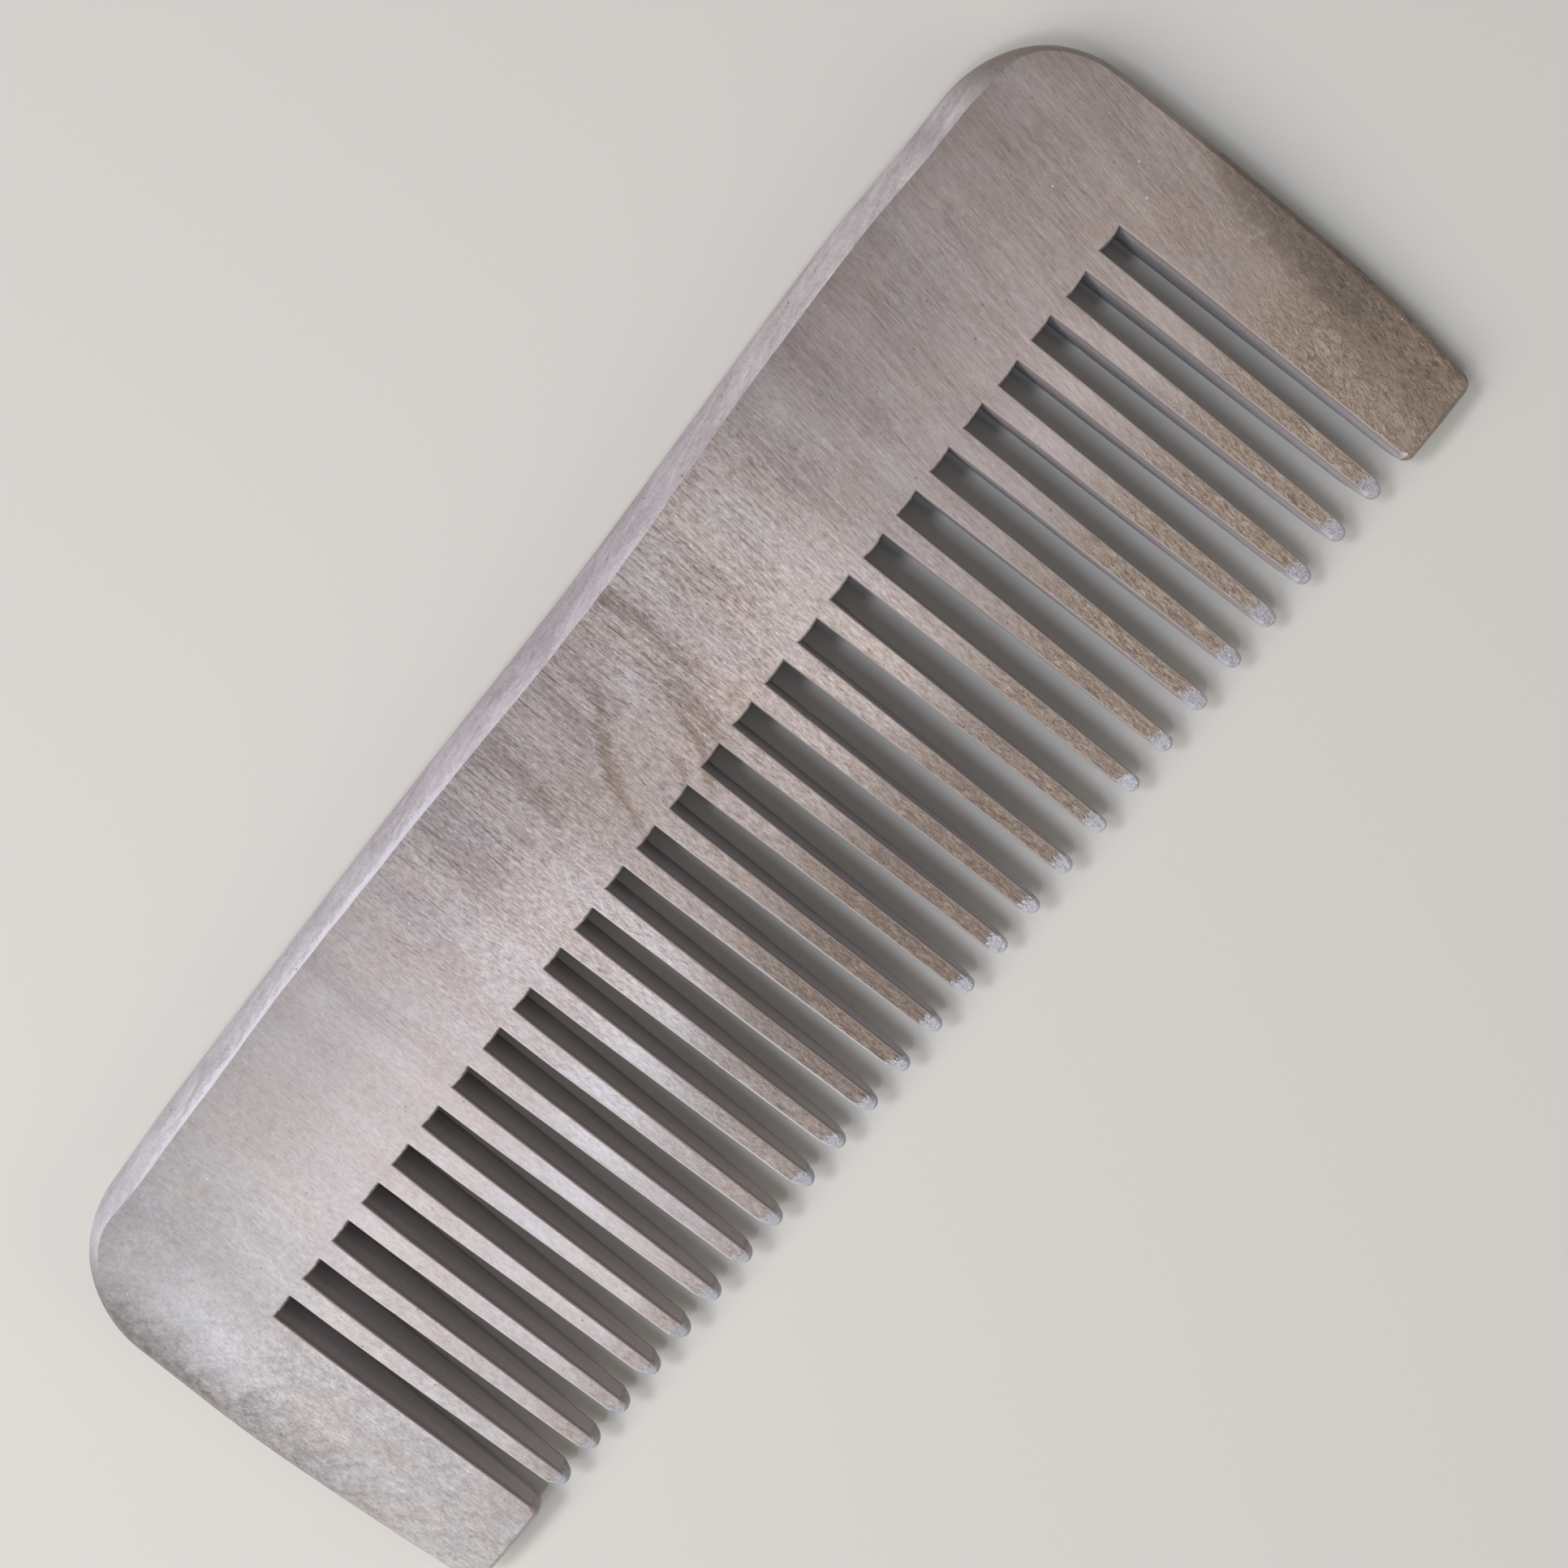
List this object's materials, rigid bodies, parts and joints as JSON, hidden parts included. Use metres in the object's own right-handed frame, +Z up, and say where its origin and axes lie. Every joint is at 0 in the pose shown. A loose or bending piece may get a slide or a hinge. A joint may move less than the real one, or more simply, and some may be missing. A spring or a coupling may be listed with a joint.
{
  "type": "wide tooth comb",
  "caption": "Flat wooden comb with a broad rounded back, two wide guard teeth at the ends and one row of widely spaced tapered teeth.",
  "frame": {"origin": "under the middle of the comb, on the face that it lies on", "axes": "+X along the comb from the wider guard tooth to the narrower one, +Y across it from the tooth tips to the spine, +Z up through its thickness"},
  "size_m": [0.18, 0.0632, 0.0074],
  "materials": {
    "wood": "hand-sanded bare hardwood with a soft satin sheen, grain running along the teeth"
  },
  "bodies": {
    "root": {"comb_back": "wood", "left_guard_tooth": "wood", "right_guard_tooth": "wood", "tooth_01": "wood", "tooth_02": "wood", "tooth_03": "wood", "tooth_04": "wood", "tooth_05": "wood", "tooth_06": "wood", "tooth_07": "wood", "tooth_08": "wood", "tooth_09": "wood", "tooth_10": "wood", "tooth_11": "wood", "tooth_12": "wood", "tooth_13": "wood", "tooth_14": "wood", "tooth_15": "wood", "tooth_16": "wood", "tooth_17": "wood", "tooth_18": "wood", "tooth_19": "wood", "tooth_20": "wood", "tooth_21": "wood", "tooth_22": "wood", "tooth_23": "wood", "tooth_24": "wood", "tooth_25": "wood", "tooth_26": "wood"}
  },
  "joints": []
}
